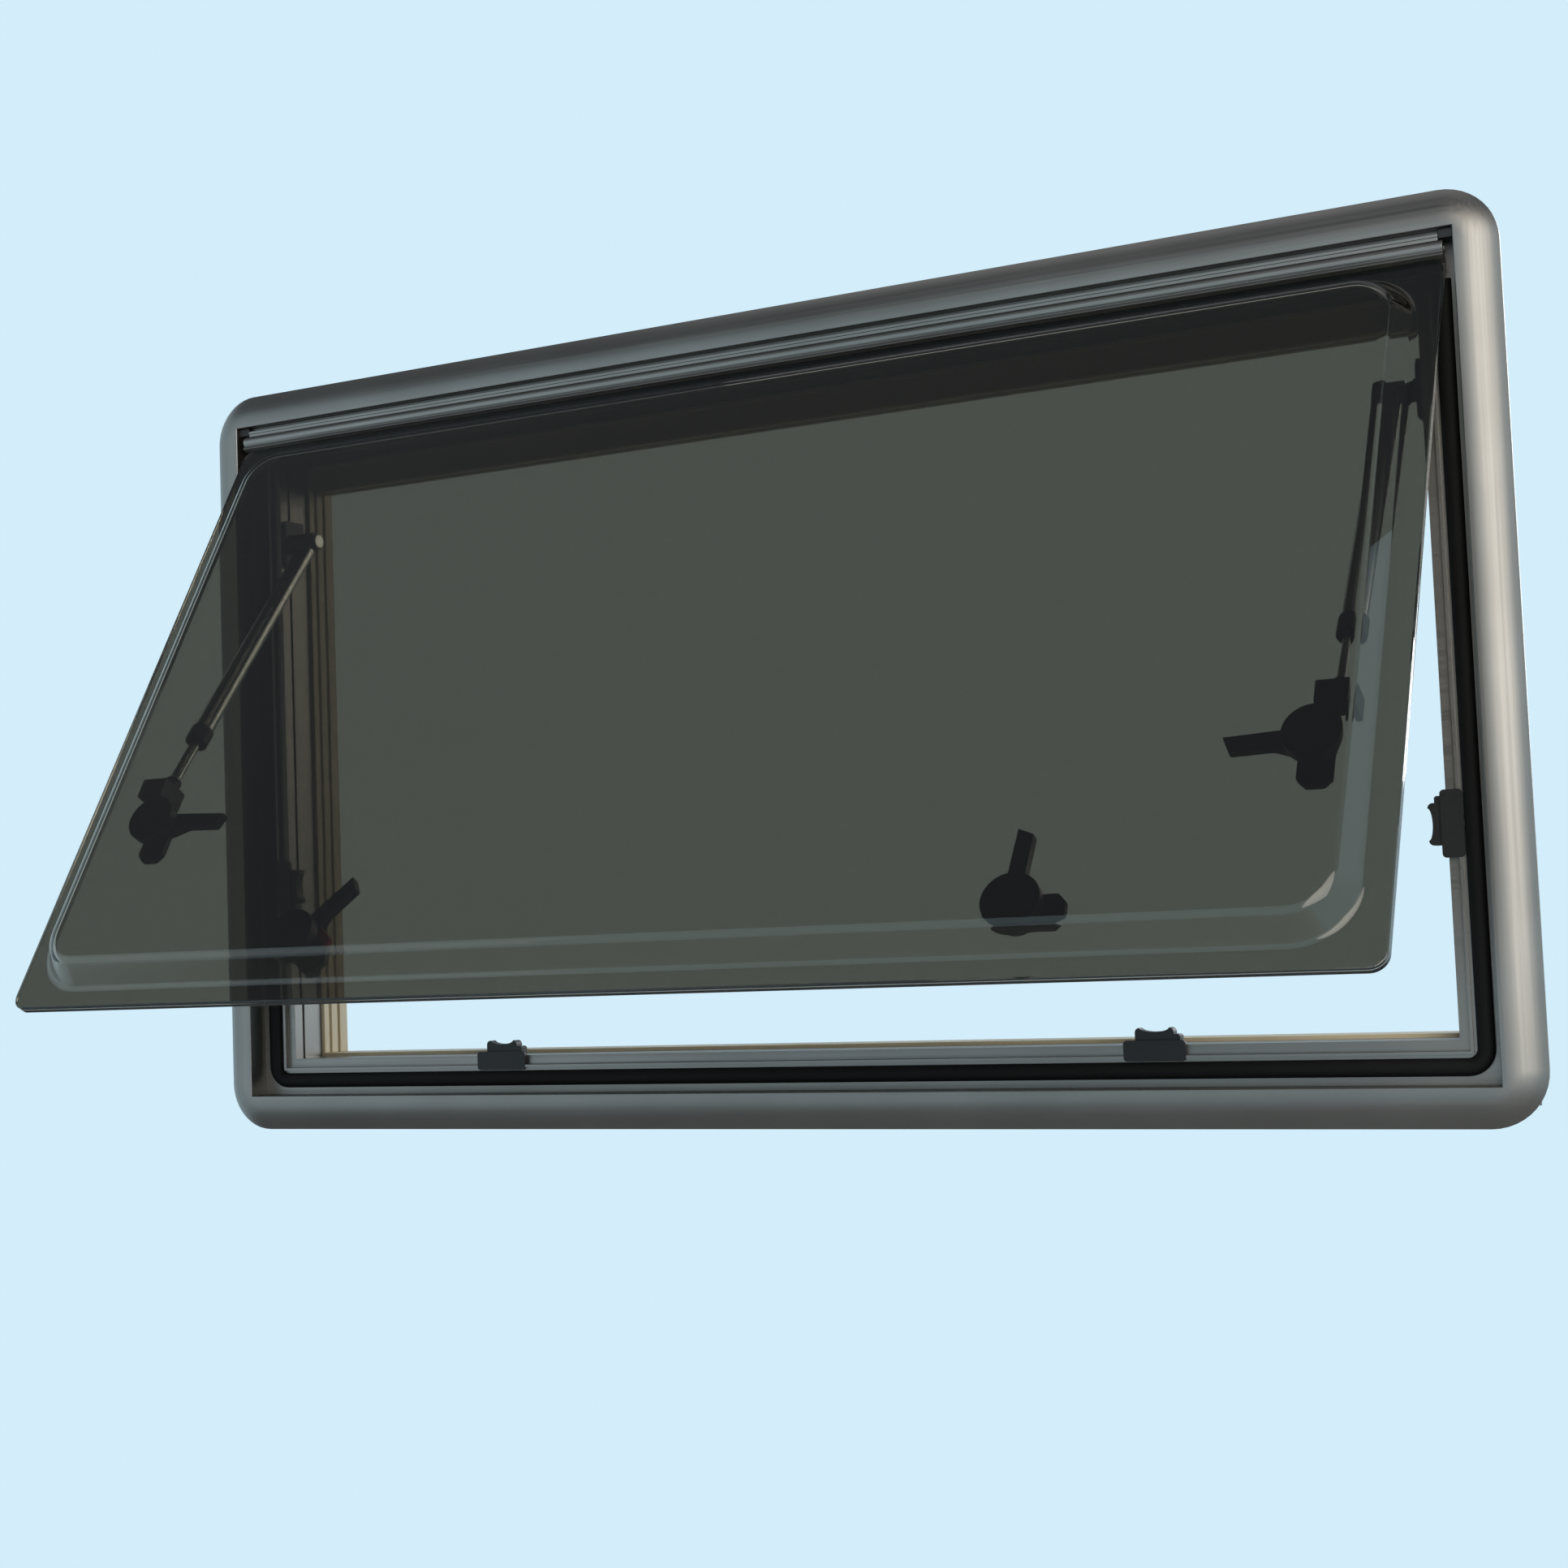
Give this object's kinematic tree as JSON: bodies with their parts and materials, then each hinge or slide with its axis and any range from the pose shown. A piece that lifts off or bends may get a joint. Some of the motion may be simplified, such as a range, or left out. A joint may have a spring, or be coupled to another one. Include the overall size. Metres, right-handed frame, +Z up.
{
  "type": "caravan cassette window",
  "caption": "Top-hung caravan window with a domed aluminium frame, smoked bubble pane, telescopic stays, turn latches and an inner blind cassette.",
  "frame": {"origin": "on the flange's wall face, at the middle of the bottom flange", "axes": "+X to the right seen from outside, +Y into the vehicle, +Z up"},
  "size_m": [0.95, 0.3242, 0.55],
  "materials": {
    "anodised_aluminium": "satin",
    "seal_rubber": "matte",
    "smoked_acrylic": "polished",
    "cream_plastic": "satin",
    "bright_steel": "bright",
    "black_plastic": "satin"
  },
  "bodies": {
    "frame": {"outer_frame": "anodised_aluminium", "frame_seal": "seal_rubber", "inner_frame": "anodised_aluminium", "cassette_guide_left": "cream_plastic", "cassette_guide_right": "cream_plastic", "cassette_head": "cream_plastic", "cassette_sill": "cream_plastic", "screen_pull_bar": "cream_plastic", "blind_pull_bar": "cream_plastic", "hinge_channel": "anodised_aluminium", "hinge_plug_left": "black_plastic", "hinge_plug_right": "black_plastic", "keeper_bottom_left": "black_plastic", "keeper_bottom_right": "black_plastic", "keeper_left": "black_plastic", "keeper_right": "black_plastic", "stay_bracket_left": "black_plastic", "stay_bracket_right": "black_plastic", "stay_rivet_left": "bright_steel", "stay_rivet_right": "bright_steel"},
    "sash": {"hinge_rail": "anodised_aluminium", "outer_pane": "smoked_acrylic", "inner_pane": "smoked_acrylic", "latch_base_bottom_left": "black_plastic", "latch_base_bottom_right": "black_plastic", "latch_base_left": "black_plastic", "latch_base_right": "black_plastic", "stay_foot_left": "black_plastic", "stay_foot_right": "black_plastic"},
    "lever_bottom_left": {"latch_lever_bottom_left": "black_plastic"},
    "lever_bottom_right": {"latch_lever_bottom_right": "black_plastic"},
    "lever_left": {"latch_lever_left": "black_plastic"},
    "lever_right": {"latch_lever_right": "black_plastic"},
    "stay_barrel_left": {"stay_eye_left": "black_plastic", "stay_barrel_left": "bright_steel", "stay_collar_left": "black_plastic"},
    "stay_rod_left": {"stay_rod_left": "bright_steel", "stay_end_left": "black_plastic"},
    "stay_barrel_right": {"stay_eye_right": "black_plastic", "stay_barrel_right": "bright_steel", "stay_collar_right": "black_plastic"},
    "stay_rod_right": {"stay_rod_right": "bright_steel", "stay_end_right": "black_plastic"}
  },
  "joints": [
    {"name": "sash_hinge", "type": "hinge", "parent": "frame", "child": "sash", "pos_m": [0, -0.0075, 0.5015], "axis": [-1, 0, 0], "range_deg": [-31.3, 0]},
    {"name": "latch_turn_bottom_left", "type": "hinge", "parent": "sash", "child": "lever_bottom_left", "pos_m": [-0.24, -0.2175, 0.12243], "axis": [0, -0.8545, 0.5195], "range_deg": [-53, 37]},
    {"name": "latch_turn_bottom_right", "type": "hinge", "parent": "sash", "child": "lever_bottom_right", "pos_m": [0.24, -0.2175, 0.12243], "axis": [0, -0.8545, 0.5195], "range_deg": [-90, 0]},
    {"name": "latch_turn_left", "type": "hinge", "parent": "sash", "child": "lever_left", "pos_m": [-0.394, -0.16762, 0.20446], "axis": [0, -0.8545, 0.5195], "range_deg": [-90, 0]},
    {"name": "latch_turn_right", "type": "hinge", "parent": "sash", "child": "lever_right", "pos_m": [0.394, -0.16762, 0.20446], "axis": [0, 0.8545, -0.5195], "range_deg": [-90, 0]},
    {"name": "stay_top_left", "type": "hinge", "parent": "frame", "child": "stay_barrel_left", "pos_m": [-0.403, 0.016, 0.4225], "axis": [-1, 0, 0], "range_deg": [-39.34, 0.2]},
    {"name": "stay_foot_turn_left", "type": "hinge", "parent": "sash", "child": "stay_rod_left", "pos_m": [-0.403, -0.15036, 0.22322], "axis": [-1, 0, 0], "range_deg": [-8.04, 0.2]},
    {"name": "stay_top_right", "type": "hinge", "parent": "frame", "child": "stay_barrel_right", "pos_m": [0.403, 0.016, 0.4225], "axis": [-1, 0, 0], "range_deg": [-39.34, 0.2]},
    {"name": "stay_foot_turn_right", "type": "hinge", "parent": "sash", "child": "stay_rod_right", "pos_m": [0.403, -0.15036, 0.22322], "axis": [-1, 0, 0], "range_deg": [-8.04, 0.2]}
  ],
  "couplings": [
    {"joint": "stay_top_left", "follows": "sash_hinge", "ratio": 1.2505},
    {"joint": "stay_foot_turn_left", "follows": "sash_hinge", "ratio": 0.2505},
    {"joint": "stay_top_right", "follows": "sash_hinge", "ratio": 1.2505},
    {"joint": "stay_foot_turn_right", "follows": "sash_hinge", "ratio": 0.2505}
  ]
}
